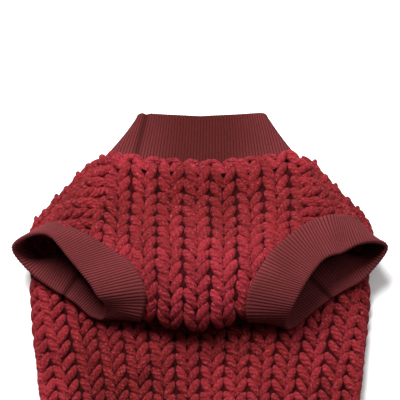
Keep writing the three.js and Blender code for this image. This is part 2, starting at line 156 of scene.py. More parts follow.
# %% Smooth values
def through(values, place, ring=False):
    """A smooth value through evenly spaced ones, at fractional places; a ring closes on itself."""
    count = len(values)
    place = np.asarray(place, float)
    first = np.floor(place).astype(int)
    if not ring:
        first = np.clip(first, 0, count - 2)

    def pick(i):
        return values[i % count] if ring else values[np.clip(i, 0, count - 1)]

    a, b, c, d = (pick(first + k) for k in (-1, 0, 1, 2))
    t = place - first
    bend = (2 * a - 5 * b + 4 * c - d) * t**2 + (3 * b - a - 3 * c + d) * t**3
    return 0.5 * (2 * b + (c - a) * t + bend)


def look_up(rows, key, at, column):
    """A column's smooth value where the key column has the given value."""
    order = np.argsort(rows[key])
    place = np.interp(at, rows[key][order], np.arange(len(order)))
    return through(rows[column][order], place)


def mix(a, b, share):
    return a + (b - a) * share


def ease(t):
    t = np.clip(t, 0, 1)
    return t * t * (3 - 2 * t)


def xyz(x, y, z):
    return np.stack(np.broadcast_arrays(x, y, z), axis=-1).astype(float)


def unit(v):
    return v / np.maximum(np.linalg.norm(v, axis=-1, keepdims=True), 1e-9)


def run_along(points):
    """Length along a line of points, from the first to each."""
    return np.concatenate([[0], np.cumsum(np.linalg.norm(np.diff(points, axis=0), axis=1))])


def folds(rows, x, y):
    """The height that soft ridges and troughs add at a point of the cloth."""
    high = 0.0
    for cx, cy, along, across, turn, most in zip(*rows.values()):
        c, s = math.cos(math.radians(turn)), math.sin(math.radians(turn))
        u = ((x - cx) * c + (y - cy) * s) / along
        v = ((y - cy) * c - (x - cx) * s) / across
        high = high + most * np.exp(-u * u - v * v)
    return high


# %% [markdown]
# ## The cloth's surfaces
# Each surface is a function of two directions across the cloth. The flat body runs round its side
# folds by its real length, so stitches keep their width there. The chest bulges over the leg
# holes and turns under at its lower end. A shoulder piece runs from its raglan seam over the
# shoulder, round a fold and under to the back.


# %% Body surface
def half_width(y):
    return look_up(BODY, "y", np.minimum(y, CORNER_Y), "half")


def side_reach(y):
    """Length along the cloth from the middle to the side seam."""
    return half_width(y) - SIDE_ROUND + SIDE_ROUND * math.pi / 2


def belly_height(x, y):
    near_side = ease((np.abs(x) - half_width(y) + 36) / 26)
    return mix(2 * KNIT + SEAM, 2 * SIDE_ROUND + SEAM, near_side) + folds(BELLY_FOLDS, x, y)


def body_point(across, y, upper):
    """A point of the flat body: across is the length along the cloth from the middle."""
    straight = half_width(y) - SIDE_ROUND
    turn = np.maximum(np.abs(across) - straight, 0) / SIDE_ROUND
    side = np.sign(across)
    flat_x = side * np.minimum(np.abs(across), straight)
    x = flat_x + side * SIDE_ROUND * np.sin(turn)
    if upper:
        return xyz(x, y, belly_height(flat_x, y) - SIDE_ROUND * (1 - np.cos(turn)))
    return xyz(x, y, folds(BACK_FOLDS, x, y) + SIDE_ROUND * (1 - np.cos(turn)))


# %% Leg holes and chest surface
def leg_point(rows, place, free):
    """A point of a leg band: on its seam, or on its free edge."""
    return xyz(*(through(rows[("e" if free else "s") + axis], place, True) for axis in "xyz"))


def chest_ends(side):
    """The two long edges of the chest: raglan seam, leg hole and tuck."""
    rows, places, key = (LEFT_LEG, HOLE["left"], "l") if side < 0 else (RIGHT_LEG, HOLE["right"], "r")
    hole = leg_point(rows, places, False)
    hole[:, 0] -= side * SEAM_HOLE
    return {a: np.concatenate([RAGLAN[key + a], hole[:, k], TUCK[key + a]]) for k, a in enumerate("xyz")}


CHEST_LEFT = chest_ends(-1)
CHEST_RIGHT = chest_ends(1)
CHEST_ROWS = len(CHEST["y"])


def chest_point(row, across):
    """A point of the chest: row down its middle line, across from -1 to 1."""
    x = mix(through(CHEST_LEFT["x"], row), through(CHEST_RIGHT["x"], row), (across + 1) / 2)
    end_y, end_z = (
        np.where(across < 0, through(CHEST_LEFT[a], row), through(CHEST_RIGHT[a], row)) for a in "yz"
    )
    share = np.abs(across)
    y = mix(through(CHEST["y"], row), end_y, share**2)
    return xyz(x, y, mix(through(CHEST["z"], row), end_z, share**3))


def chest_at_x(row, x):
    left = through(CHEST_LEFT["x"], row)
    right = through(CHEST_RIGHT["x"], row)
    return chest_point(row, 2 * (x - left) / (right - left) - 1)


# %% Shoulder surface
SHOULDER_LAST = len(SHOULDERS["lx"]) - 1
SHOULDER_SWELL = 5  # how far the shoulder rises over a straight line between its seams
FOLD_PULL = 0.85  # the leg hole's pull fades from here to the fold
SEAM_CLEAR = 2.5  # the back seam keeps this far in from the fold


def shoulder_point(side, row, v):
    """v from 0 to 1 runs over the shoulder, to 2 round its fold, and to 3 under to the back seam."""
    key, legs, joint = ("l", LEFT_LEG, 2) if side < 0 else ("r", RIGHT_LEG, 3)
    row, v = np.broadcast_arrays(np.asarray(row, float), np.asarray(v, float))

    def fold_at(r):
        return xyz(through(SHOULDERS[key + "x"], r), through(SHOULDERS[key + "y"], r), 0)

    def turn_at(r):
        """The fold's outward direction, and the centre that it turns about."""
        ahead = np.minimum(r + 0.5, SHOULDER_LAST)
        run = unit(fold_at(ahead) - fold_at(np.maximum(ahead - 1, 0)))
        outward = xyz(-side * run[..., 1], side * run[..., 0], 0)
        return outward, fold_at(r) - outward * SHOULDER_ROUND

    s = np.clip(v, 0, 1)

    def over_at(r, centre):
        seam = chest_point(np.minimum(r, LEG_ROW), np.full(r.shape, float(side)))
        point = mix(seam, centre, s[..., None])
        swell = SHOULDER_SWELL * np.sin(math.pi * np.minimum(r / LEG_ROW, 0.5)) * np.sin(math.pi * s)
        point[..., 2] = mix(seam[..., 2], 2 * SHOULDER_ROUND, s) + swell
        return point

    outward, turn = turn_at(row)
    at_leg = np.full(row.shape, float(LEG_ROW))
    pull = leg_point(legs, joint - (joint + 1) * s, False) - over_at(at_leg, turn_at(at_leg)[1])
    hold = ease(np.minimum(row, LEG_ROW) / LEG_ROW) ** 2 * (1 - ease((s - FOLD_PULL) / (1 - FOLD_PULL)))
    over = over_at(row, turn) + pull * hold[..., None]

    angle = math.pi * np.clip(v - 1, 0, 1)
    fold = turn + outward * (SHOULDER_ROUND * np.sin(angle))[..., None]
    fold[..., 2] = SHOULDER_ROUND * (1 + np.cos(angle))

    back_x = np.minimum(through(SHOULDERS["back_x"], row), np.abs(turn[..., 0]) - SEAM_CLEAR)
    back = xyz(side * back_x, through(SHOULDERS["back_y"], row), 0)
    under = mix(turn, back, np.clip(v - 2, 0, 1)[..., None])
    under[..., 2] = folds(BACK_FOLDS, under[..., 0], under[..., 1])
    return np.where(v[..., None] <= 1, over, np.where(v[..., None] <= 2, fold, under))


print("chest middle", chest_point(8.0, 0.0).round(1), "shoulder", shoulder_point(-1, 3.0, 1.5).round(1))

# %% [markdown]
# ## The knit ground
# Behind the stitches lies the body of the cloth, the part that you feel as its thickness. It is a
# thin closed wall on the panel's form, set back by half a stitch, so that the stitches stand on
# it and no light comes through. A grid of points is the outer face, a second one behind it is the
# inner face, and rim faces close every open edge, round a leg hole too.

# %% Walls from grids
GROUND_DEPTH = 2.4  # outer face of the ground, below the top of the stitches
GROUND_WALL = 2.2


def to_frame(points):
    """From the pattern's millimetres to the frame's metres."""
    return (points + np.array([0, SHIFT_Y, 0])) * MM


def quads_of(kept):
    """Faces between the grid points that are kept."""
    columns = kept.shape[1]
    whole = kept[:-1, :-1] & kept[:-1, 1:] & kept[1:, 1:] & kept[1:, :-1]  # all four corners
    corners = (i * columns + j for i, j in np.argwhere(whole).tolist())
    return [(k, k + 1, k + 1 + columns, k + columns) for k in corners]


def grid_normals(points, quads):
    flat = points.reshape(-1, 3)
    q = np.array(quads)
    face = unit(np.cross(flat[q[:, 2]] - flat[q[:, 0]], flat[q[:, 3]] - flat[q[:, 1]]))
    total = np.zeros_like(flat)
    for k in range(4):
        np.add.at(total, q[:, k], face)
    return unit(total)


def mesh_object(name, points, faces):
    mesh = bpy.data.meshes.new(name)
    mesh.from_pydata(to_frame(points).tolist(), [], faces)
    mesh.shade_smooth()
    mesh.validate()
    made = bpy.data.objects.new(name, mesh)
    bpy.context.scene.collection.objects.link(made)
    return made


def ground(name, points, kept, material, depth=GROUND_DEPTH):
    """The closed wall behind a grid of surface points."""
    quads = quads_of(kept)
    normals = grid_normals(points, quads)
    flat = points.reshape(-1, 3)
    underside = (normals[:, 2:] > 0) & (flat[:, 2:] < 2)  # the shoulder's strip twists at the neck corner
    normals = np.where(underside, -normals, normals)
    outer = flat - normals * np.reshape(depth, (-1, 1))
    inner = flat - normals * (GROUND_DEPTH + GROUND_WALL)
    count = len(flat)
    border = {}
    for quad in quads:
        for a, b in zip(quad, quad[1:] + quad[:1]):
            if (b, a) in border:
                del border[(b, a)]
            else:
                border[(a, b)] = True
    faces = list(quads)
    faces += [tuple(v + count for v in reversed(quad)) for quad in quads]
    faces += [(b, a, a + count, b + count) for a, b in border]
    used = sorted({v for face in faces for v in face})
    place = {v: k for k, v in enumerate(used)}
    both = np.concatenate([outer, inner])[used]
    made = mesh_object(name, both, [tuple(place[v] for v in face) for face in faces])
    made.data.materials.append(material)
    print(name, len(faces), "faces")
    return made


# %% [markdown]
# ## Node helpers
# Shader trees and Geometry Nodes trees are both made of nodes and links. Small helpers keep them
# readable: one makes a tree with named inputs and outputs, one adds a node and wires what is given
# to its sockets, and the rest stand for the nodes that come back most often.


# %% Node helpers
def new_tree(kind, name, inputs, outputs):
    tree = bpy.data.node_groups.new(name, kind)
    for label, socket, value in inputs:
        made = tree.interface.new_socket(name=label, in_out="INPUT", socket_type=socket)
        if value is not None:
            made.default_value = value
    for label, socket in outputs:
        tree.interface.new_socket(name=label, in_out="OUTPUT", socket_type=socket)
    return tree, tree.nodes.new("NodeGroupInput").outputs, tree.nodes.new("NodeGroupOutput").inputs


def feed(tree, socket, value):
    """Gives a socket a plain value, or another node's output."""
    if isinstance(value, bpy.types.NodeSocket):
        tree.links.new(value, socket)
    else:
        socket.default_value = value


def add(tree, kind, inputs=(), **settings):
    """Adds a node. inputs maps a socket's name or number to a value or to another node's output."""
    made = tree.nodes.new(kind)
    for key, value in settings.items():
        setattr(made, key, value)
    for key, value in dict(inputs).items():
        feed(tree, made.inputs[key], value)
    return made


def maths(tree, operation, a, b=0.0, c=None):
    inputs = {0: a, 1: b} if c is None else {0: a, 1: b, 2: c}
    return add(tree, "ShaderNodeMath", inputs, operation=operation).outputs[0]


def times(tree, a, b):
    return maths(tree, "MULTIPLY", a, b)


def times_plus(tree, a, b, c):
    return maths(tree, "MULTIPLY_ADD", a, b, c)


def blend_colour(tree, share, a, b):
    """Mixes two colours by a share from 0 to 1."""
    made = add(tree, "ShaderNodeMix", data_type="RGBA")
    for key, value in (("Factor_Float", share), ("A_Color", a), ("B_Color", b)):
        feed(tree, next(s for s in made.inputs if s.identifier == key), value)
    return next(s for s in made.outputs if s.identifier == "Result_Color")


def painted(tree, name, part="Fac"):
    """A material's reading of an attribute that the mesh carries."""
    return add(tree, "ShaderNodeAttribute", attribute_name=name).outputs[part]


def read(tree, name, kind="FLOAT"):
    """A Geometry Nodes reading of an attribute that the mesh carries."""
    return add(tree, "GeometryNodeInputNamedAttribute", {"Name": name}, data_type=kind).outputs["Attribute"]


def mark(tree, geometry, name, value, kind="FLOAT"):
    """Writes an attribute on every point."""
    return add(
        tree, "GeometryNodeStoreNamedAttribute", {"Geometry": geometry, "Name": name, "Value": value},
        data_type=kind, domain="POINT",
    ).outputs[0]


def finish_tree(tree, geometry, material, output):
    """What both trees end with: real geometry, with its material set."""
    real = add(tree, "GeometryNodeRealizeInstances", {0: geometry}).outputs[0]
    smooth = add(tree, "GeometryNodeSetShadeSmooth", {"Geometry": real}).outputs[0]
    finished = add(tree, "GeometryNodeSetMaterial", {"Geometry": smooth, "Material": material})
    tree.links.new(finished.outputs[0], output)


# %% [markdown]
# ## Wool
# The yarn is a soft wool blend. Close up it is a haze of fine fibres, and it is never one even red.
# The pale specks where fibres would catch the light are painted glints. Chunky knit and fine rib
# share that, so it is one node group with its own sizes, placed in each material: a mask of painted
# glints, a slow drift of colour and a height for the bump.

# %% Wool fibre group
wool, wool_in, wool_out = new_tree(
    "ShaderNodeTree", "wool_fibres",
    [("Fibre Scale", "NodeSocketFloat", 900.0), ("Drift Scale", "NodeSocketFloat", 30.0)],
    [("Fibre Glints", "NodeSocketFloat"), ("Drift", "NodeSocketFloat"), ("Height", "NodeSocketFloat")],
)
wool_at = add(wool, "ShaderNodeTexCoord").outputs["Object"]
fibres = add(wool, "ShaderNodeTexNoise", {"Vector": wool_at, "Scale": wool_in["Fibre Scale"], "Detail": 4.0,
                                          "Roughness": 0.65, "Distortion": 0.6})
glints = add(wool, "ShaderNodeMapRange", {"Value": fibres.outputs["Fac"], "From Min": 0.52, "From Max": 0.72})
drift = add(wool, "ShaderNodeTexNoise", {"Vector": wool_at, "Scale": wool_in["Drift Scale"], "Detail": 3.0})
drifted = add(wool, "ShaderNodeMapRange", {"Value": drift.outputs["Fac"], "From Min": 0.35, "From Max": 0.65})
wool.links.new(glints.outputs["Result"], wool_out["Fibre Glints"])
wool.links.new(drifted.outputs["Result"], wool_out["Drift"])
wool.links.new(fibres.outputs["Fac"], wool_out["Height"])
print("wool group with", len(wool.nodes), "nodes")

# %% [markdown]
# ## The chunky knit's yarn
# Each leg of a stitch is a thick soft strand with a slow twist, so faint diagonal ridges run round
# it. The leg carries its own place as an attribute, and the twist is a wave on that: it follows
# every leg, whichever way it lies, and darkens its grooves a little as painted shade. A second
# attribute, one number for each leg, makes some a little lighter or pinker than their neighbours,
# as hand-dyed wool is. A third is painted light: paler and pinker where the cloth stands up or
# turns outwards, deeper red in its hollows. A soft sheen gives a little pale at the edges.


# %% Knit materials
def principled(name, base, roughness, sheen):
    material = bpy.data.materials.new(name)
    material.use_nodes = True
    tree = material.node_tree
    shader = tree.nodes["Principled BSDF"]
    shader.inputs["Base Color"].default_value = base
    shader.inputs["Roughness"].default_value = roughness
    shader.inputs["Specular IOR Level"].default_value = 0.06
    shader.inputs["Sheen Weight"].default_value = sheen
    shader.inputs["Sheen Roughness"].default_value = 0.45
    shader.inputs["Sheen Tint"].default_value = (1.0, 0.3, 0.42, 1.0)
    return material, tree, shader


def add_bump(tree, shader, height, strength, distance):
    bump = add(tree, "ShaderNodeBump", {"Height": height, "Strength": strength, "Distance": distance})
    tree.links.new(bump.outputs["Normal"], shader.inputs["Normal"])


DEEP_RED = (0.05, 0.002, 0.002, 1.0)
WARM_RED = (0.195, 0.0115, 0.0095, 1.0)
# PINK_RED is the drift's pinker red and also the painted lit colour of raised stitches.
PINK_RED = (0.37, 0.026, 0.04, 1.0)
# Painted glints: the colour of pale specks where fibres would catch the light.
PINK_GLINT = (0.55, 0.08, 0.10, 1.0)
# Painted shade: near-black reds for the ground between the stitches.
SHADE_RED = (0.012, 0.0007, 0.0008, 1.0)
GROUND_SHADE = (0.03, 0.0015, 0.0018, 1.0)
PLY_PITCH = 0.0038  # from one ridge of the twist to the next, across the ridges
GROUND_ROW = 0.0076  # the rows and columns that show faintly on the ground
GROUND_COLUMN = 0.0157

knit_yarn, tree, shader = principled("knit_yarn", WARM_RED, 0.9, 0.05)
fibre = add(tree, "ShaderNodeGroup", {"Fibre Scale": 620.0, "Drift Scale": 22.0}, node_tree=wool).outputs
place = add(tree, "ShaderNodeSeparateXYZ", {0: painted(tree, "leg_at", "Vector")}).outputs
twist = times(tree, maths(tree, "ADD", place["Y"], place["X"]), 2 * math.pi / PLY_PITCH)
ply = times_plus(tree, maths(tree, "SINE", twist), 0.5, 0.5)
shade = times_plus(tree, fibre["Drift"], 0.2, times(tree, painted(tree, "tone"), 0.3))
# Painted shade: the twist's grooves a little darker. Drift, tone and fibres vary the wool's own colour.
shade = times_plus(tree, fibre["Height"], 0.6, times_plus(tree, ply, 0.2, shade))
# Painted light: raised and outer stitches paler and pinker, with the drift's random pink on top.
drift_and_light = times_plus(tree, fibre["Drift"], 0.3, times(tree, painted(tree, "bloom"), 0.8))
red = blend_colour(tree, shade, DEEP_RED, blend_colour(tree, drift_and_light, WARM_RED, PINK_RED))
# Painted glints: pale pink specks.
red = blend_colour(tree, times(tree, fibre["Fibre Glints"], 0.55), red, PINK_GLINT)
tree.links.new(red, shader.inputs["Base Color"])
height = times_plus(tree, ply, 0.5, times(tree, fibre["Height"], 2.2))
add_bump(tree, shader, height, 1.0, 0.0014)

# The ground's colour is painted shade, near black, drifting a little.
knit_ground, tree, shader = principled("knit_ground", DEEP_RED, 0.95, 0.05)
fibre = add(tree, "ShaderNodeGroup", {"Fibre Scale": 700.0, "Drift Scale": 40.0}, node_tree=wool).outputs
at = add(tree, "ShaderNodeSeparateXYZ", {0: add(tree, "ShaderNodeTexCoord").outputs["Object"]}).outputs
rows = maths(tree, "SINE", times(tree, at["Y"], 2 * math.pi / GROUND_ROW))
lean = times(tree, maths(tree, "SINE", times(tree, at["X"], 2 * math.pi / GROUND_COLUMN)), rows)
tree.links.new(blend_colour(tree, fibre["Drift"], SHADE_RED, GROUND_SHADE), shader.inputs["Base Color"])
add_bump(tree, shader, maths(tree, "ADD", lean, fibre["Height"]), 0.6, 0.001)
print("knit materials", knit_yarn.name, knit_ground.name)

# %% [markdown]
# ## One leg of a stitch, many times
# Plain knit shows its stitches as columns of nested V shapes. A V has two legs: plump
# strands that lean outwards, thickest in the middle, their ends diving under the next stitch.
# They could be modelled one by one or painted as bump, but bump has no silhouette and the
# outline of this sweater is all bumps. So Geometry Nodes sweep a left leg and a right leg from
# a Bezier curve, each plain and curled over for the tight folds, and place them on points
# that carry a direction, an outward normal and a size.

# %% Leg tree
LEG_COLUMN = 16.0  # column width that a leg of scale 1 is made for
LEG_ROW_PITCH = 8.0  # and its row pitch
LEG_LEAN = 28  # degrees that a leg leans from its column

legs_tree, legs_in, legs_out = new_tree(
    "GeometryNodeTree", "knit_legs",
    [
        ("Geometry", "NodeSocketGeometry", None),
        ("Half Column", "NodeSocketFloat", 0.008),
        ("Leg Rise", "NodeSocketFloat", 0.0060),
        ("Yarn Radius", "NodeSocketFloat", 0.0030),
        ("Arch", "NodeSocketFloat", 0.0015),
        ("Curl", "NodeSocketFloat", 0.0036),
        ("Sway", "NodeSocketFloat", 0.08),
        ("Seed", "NodeSocketInt", 4),
        ("Material", "NodeSocketMaterial", None),
    ],
    [("Geometry", "NodeSocketGeometry")],
)


def leg_curve(tree, side, curled):
    """One leg as a swept strand about its own middle: foot inwards, head outwards."""
    def across(share):
        return times(tree, legs_in["Half Column"], share * side)

    def up(share):
        return times(tree, legs_in["Leg Rise"], share)

    foot, head = (
        times_plus(tree, legs_in["Curl"], -1.0 * curled, times(tree, legs_in["Arch"], drop))
        for drop in (-0.9, -1.5)
    )
    corners = {
        "Start": (across(-0.40), up(-1.0), foot), "Start Handle": (across(-0.26), up(-0.42), legs_in["Arch"]),
        "End Handle": (across(0.22), up(0.42), legs_in["Arch"]), "End": (across(0.32), up(1.0), head),
    }
    points = {
        name: add(tree, "ShaderNodeCombineXYZ", dict(enumerate(corner))).outputs[0]
        for name, corner in corners.items()
    }
    line = add(tree, "GeometryNodeCurvePrimitiveBezierSegment", {"Resolution": 7, **points}, mode="POSITION")
    stations = add(tree, "GeometryNodeResampleCurve", {"Curve": line.outputs[0], "Count": 8})
    factor = add(tree, "GeometryNodeSplineParameter").outputs["Factor"]
    swell = maths(tree, "POWER", maths(tree, "SINE", times_plus(tree, factor, 2.2, 0.47)), 0.6)
    ring = add(tree, "GeometryNodeCurvePrimitiveCircle", {"Resolution": 8, "Radius": legs_in["Yarn Radius"]})
    strand = add(
        tree, "GeometryNodeCurveToMesh",
        {"Curve": stations.outputs[0], "Profile Curve": ring.outputs["Curve"], "Scale": swell,
         "Fill Caps": True},
    )
    turned = add(
        tree, "ShaderNodeVectorRotate",
        {"Vector": add(tree, "GeometryNodeInputPosition").outputs[0], "Angle": side * math.radians(LEG_LEAN)},
        rotation_type="Z_AXIS",
    )
    marked = mark(tree, strand.outputs[0], "leg_at", turned.outputs[0], "FLOAT_VECTOR")
    return add(tree, "GeometryNodeGeometryToInstance", {0: marked}).outputs[0]


both = add(legs_tree, "GeometryNodeJoinGeometry")
for side, curled in ((1, 1), (-1, 1), (1, 0), (-1, 0)):  # the join puts the last link first
    legs_tree.links.new(leg_curve(legs_tree, side, curled), both.inputs[0])


def random_value(tree, kind, low, high, seed):
    made = add(tree, "FunctionNodeRandomValue", data_type=kind)
    for label, value in (("Min", low), ("Max", high), ("Seed", seed)):
        feed(tree, next(s for s in made.inputs if s.name == label and s.enabled), value)
    return next(s for s in made.outputs if s.enabled)


facing = add(
    legs_tree, "FunctionNodeAxesToRotation",
    {"Primary Axis": read(legs_tree, "outward", "FLOAT_VECTOR"),
     "Secondary Axis": read(legs_tree, "up", "FLOAT_VECTOR")},
    primary_axis="Z", secondary_axis="Y",
)
sway = add(legs_tree, "ShaderNodeCombineXYZ", dict.fromkeys(range(3), legs_in["Sway"])).outputs[0]
sway_back = add(
    legs_tree, "ShaderNodeVectorMath", {0: sway, 1: (-1, -1, -1)}, operation="MULTIPLY"
).outputs[0]
jitter = random_value(legs_tree, "FLOAT_VECTOR", sway_back, sway, legs_in["Seed"])
shaken = add(legs_tree, "FunctionNodeEulerToRotation", {0: jitter})
turned = add(
    legs_tree, "FunctionNodeRotateRotation",
    {"Rotation": facing.outputs[0], "Rotate By": shaken.outputs[0]}, rotation_space="LOCAL",
)
growth = random_value(legs_tree, "FLOAT", 0.93, 1.08, maths(legs_tree, "ADD", legs_in["Seed"], 11.0))
tone = random_value(legs_tree, "FLOAT", 0.0, 1.0, maths(legs_tree, "ADD", legs_in["Seed"], 23.0))
size = add(
    legs_tree, "ShaderNodeVectorMath", {0: read(legs_tree, "size", "FLOAT_VECTOR"), 3: growth},
    operation="SCALE",
)
placed = add(
    legs_tree, "GeometryNodeInstanceOnPoints",
    {"Points": mark(legs_tree, legs_in["Geometry"], "tone", tone), "Instance": both.outputs[0],
     "Pick Instance": True, "Instance Index": read(legs_tree, "kind", "INT"), "Rotation": turned.outputs[0],
     "Scale": size.outputs[0]},
)
finish_tree(legs_tree, placed.outputs[0], legs_in["Material"], legs_out["Geometry"])
print("leg tree with", len(legs_tree.nodes), "nodes")

# %% [markdown]
# ## From stitch places to legs
# A stitch is a point on the cloth, the direction of its column and the cloth's normal. Both come
# from small steps along the surface function. A stitch near an edge may keep only the leg that
# still lies on its panel, as cut knit does.


# %% Stitch points
def apply_tree(made, tree, values):
    """Runs a Geometry Nodes tree on an object and keeps the result as its plain mesh."""
    modifier = made.modifiers.new("shape", "NODES")
    modifier.node_group = tree
    identifiers = {item.name: item.identifier for item in tree.interface.items_tree if item.in_out == "INPUT"}
    for name, value in values.items():
        modifier[identifiers[name]] = value
    graph = bpy.context.evaluated_depsgraph_get()
    result = bpy.data.meshes.new_from_object(made.evaluated_get(graph))
    made.modifiers.remove(modifier)
    made.data = result
    return made


def store(made, name, kind, values):
    """Gives every point of an object a named number or vector, for the trees and materials to read."""
    field = "vector" if kind == "FLOAT_VECTOR" else "value"
    made.data.attributes.new(name, kind, "POINT").data.foreach_set(field, np.ravel(values))


LEG_DEPTH = 2.6  # a leg's line, below the surface
FLAT_DEPTH = 1.1  # and deeper by this where the cloth lies flat on the table
LEG_FLATTEN = 0.9  # a leg's thickness, as a share of its width


def legs(name, rows, seed):
    """Legs made from rows of point, up, outward, column width, row pitch, kind and share of painted light."""
    point, up, outward, wide, pitch, kind, bloom = (np.concatenate(column) for column in zip(*rows))
    depth = LEG_DEPTH + FLAT_DEPTH * np.maximum(-outward[:, 2:], 0)
    made = mesh_object(name, point - outward * depth, [])
    size = np.stack([wide / LEG_COLUMN, pitch / LEG_ROW_PITCH, np.full(len(wide), LEG_FLATTEN)], axis=-1)
    for key, values in (("up", up), ("outward", outward), ("size", size)):
        store(made, key, "FLOAT_VECTOR", values)
    store(made, "kind", "INT", kind.astype(np.int32))
    store(made, "bloom", "FLOAT", bloom.astype(float))
    apply_tree(made, legs_tree, {"Seed": seed, "Material": knit_yarn})
    print(name, len(point), "legs,", sum(len(p.vertices) - 2 for p in made.data.polygons), "triangles")
    return made


STEP = 0.05  # small step along a surface, for its directions


def stitches_on(surface, a, b, wide, pitch, inside, bloom, flip=1, proud=None, curled=None):
    """Legs on surface(a, b), their columns along b; inside(a, b) says where each goes and which stay."""
    rows = []
    for kind, leg in enumerate((-1, 1)):
        middle, keep = inside(a + leg * flip * wide / 4, b)
        at, along = middle[keep], b[keep]
        up = unit(surface(at, along + STEP) - surface(at, along - STEP))
        outward = unit(np.cross(surface(at + STEP, along) - surface(at - STEP, along), up)) * flip
        point = surface(at, along)
        if proud is not None:
            point = point + outward * proud(along)[:, None]
        curl = 0 * at if curled is None else 2 * curled(along)
        wides = np.broadcast_to(wide, a.shape)[keep]
        rows.append((point, up, outward, wides, np.full(len(at), pitch), kind + curl, bloom(at, along)))
    return rows


# %% [markdown]
# ## Front panel
# The front is one piece from the collar to the hem. Over the chest it bulges between the leg
# holes; then it turns under and comes out again as the flat belly, which runs round both side
# folds to the side seams. Its columns stay upright all the way down, and the panel's edges
# cut through them.

# %% Front panel ground
SIDE_COLUMNS = 20
CHEST_COLUMNS = 28
BELLY_GRID_ROWS = 70
CHEST_GRID_ROWS = 80
FAN_Y = CORNER_Y - 10  # the columns are spaced by the body's width here
BELLY_MOST_Y = CORNER_Y + 6


def front_columns():
    """Columns of the front: the middle ones run on over the chest, the others end at the leg holes."""
    reach = side_reach(TUCK_Y)
    left, right = TUCK["lx"][-1] / reach, TUCK["rx"][-1] / reach
    outward = 1 - (1 - np.linspace(0, 1, SIDE_COLUMNS + 1)) ** 1.9
    middle = np.linspace(left, right, CHEST_COLUMNS + 1)
    return np.concatenate([mix(left, -1, outward)[:0:-1], middle, mix(right, 1, outward)[1:]])


def belly_top(x):
    return look_up(BELLY_EDGE, "x", np.clip(np.abs(x), 37, 112), "y")


def front_grid():
    u = front_columns()
    flat_x = np.sign(u) * np.minimum(np.abs(side_reach(FAN_Y) * u), half_width(FAN_Y) - SIDE_ROUND)
    share = np.linspace(0, 1, BELLY_GRID_ROWS)[:, None]
    y = np.minimum(mix(HEM_Y, belly_top(flat_x)[None, :], share), BELLY_MOST_Y)
    belly = body_point(u[None, :] * side_reach(y), y, True)
    row = np.linspace(CHEST_ROWS - 1, 0, CHEST_GRID_ROWS)[:, None]
    chest = np.zeros((CHEST_GRID_ROWS, len(u), 3))
    middle = slice(SIDE_COLUMNS, SIDE_COLUMNS + CHEST_COLUMNS + 1)
    chest[:, middle] = chest_point(row, np.linspace(-1, 1, CHEST_COLUMNS + 1)[None, :])
    kept = np.ones((BELLY_GRID_ROWS + CHEST_GRID_ROWS, len(u)), bool)
    kept[BELLY_GRID_ROWS:] = False
    kept[BELLY_GRID_ROWS:, middle] = True
    return np.concatenate([belly, chest]), kept


front_ground = ground("front_ground", *front_grid(), knit_ground)

# %% [markdown]
# The belly's columns fan out a little towards the leg holes, where the cloth is stretched. The
# chest's stitches are larger, because the bulge stretches them too.

# %% Front panel stitches
BELLY_ROW = 8.6
CHEST_COLUMN = 17.2
CHEST_ROW = 9.8
EDGE_SPARE = 1.6  # from a panel's edge to the middle of the last leg
EDGE_PULL = 4.2  # how far a leg past the edge is pulled back to fill it
NECK_RIDGE = 1.6  # how far the stitches puff up where the collar is sewn on
ROW_WAVER = 0.9  # how far a column's rows drift up and down
BELLY_CLEAR = 3.5  # between the belly's last row and the cuffs
CHEST_HIDDEN = 3.6  # rows of the chest table at the end of the tuck that need no stitches


def column_width(y):
    """Width of the body's columns: narrower at the hem, stretched near the leg holes."""
    return 14.6 + 3.2 * ease((y + 20) / 110)


def body_stitches(upper, rows, first, limit):
    y, column = np.meshgrid(rows, np.arange(-8, 9) + first, indexing="ij")
    y = y + ROW_WAVER * np.sin(column * 1.3 + y * 0.045)
    wide = column_width(y)

    def inside(across, y):
        held = np.clip(across, EDGE_SPARE - side_reach(y), side_reach(y) - EDGE_SPARE)
        x = np.clip(held, 1 - half_width(y), half_width(y) - 1)
        return held, (np.abs(held - across) < EDGE_PULL) & limit(x, y)

    # Painted light: paler towards the side folds, with a slow wave.
    def bloom(across, y):
        return 0.12 + 0.25 * (np.abs(across) / 100) ** 2 + 0.12 * np.sin(across * 0.05 + y * 0.08)

    return stitches_on(
        lambda a, b: body_point(a, b, upper), column * wide, y, wide, BELLY_ROW, inside, bloom,
        flip=1 if upper else -1,
    )


def belly_limit(x, y):
    under_chest = (x > TUCK["lx"][-1]) & (x < TUCK["rx"][-1])
    return y < np.where(under_chest, TUCK_Y - 3, belly_top(x) - BELLY_CLEAR)


belly = body_stitches(True, np.arange(HEM_Y + 5, CORNER_Y + 4, BELLY_ROW), 0.5, belly_limit)

dense = np.linspace(0, CHEST_ROWS - CHEST_HIDDEN, 600)
run = run_along(chest_point(dense, 0 * dense))
chest_rows_at = np.interp(np.arange(0.5, run[-1], CHEST_ROW), run, dense)
row, column = np.meshgrid(chest_rows_at, np.arange(-5, 6), indexing="ij")
x = column * CHEST_COLUMN - 2.0 + 0.6 * np.sin(row * 1.7 + column)
row = row + 0.06 * np.sin(column * 1.9)


def on_chest(x, up):
    held = np.clip(x, through(CHEST_LEFT["x"], -up) + EDGE_SPARE, through(CHEST_RIGHT["x"], -up) - EDGE_SPARE)
    return held, np.abs(held - x) < EDGE_PULL


# Painted light down the chest, row by row: pale on raised rows, painted shade in the hollow.
CHEST_PAINTED_LIGHT = table(
    "row bloom", (0, 0.7), (0.6, 0.6), (1.2, 0.1), (3, 0.05), (4.5, 0.3), (7, 0.75), (9.5, 0.95), (11.5, 0.3),
    (13, 0),
)


def chest_painted_light(x, up):
    """Painted light: palest on the neckline's roll and on the swell between the leg holes; painted shade, deep
    red, in the hollow.
    """
    return np.interp(-up, CHEST_PAINTED_LIGHT["row"], CHEST_PAINTED_LIGHT["bloom"])


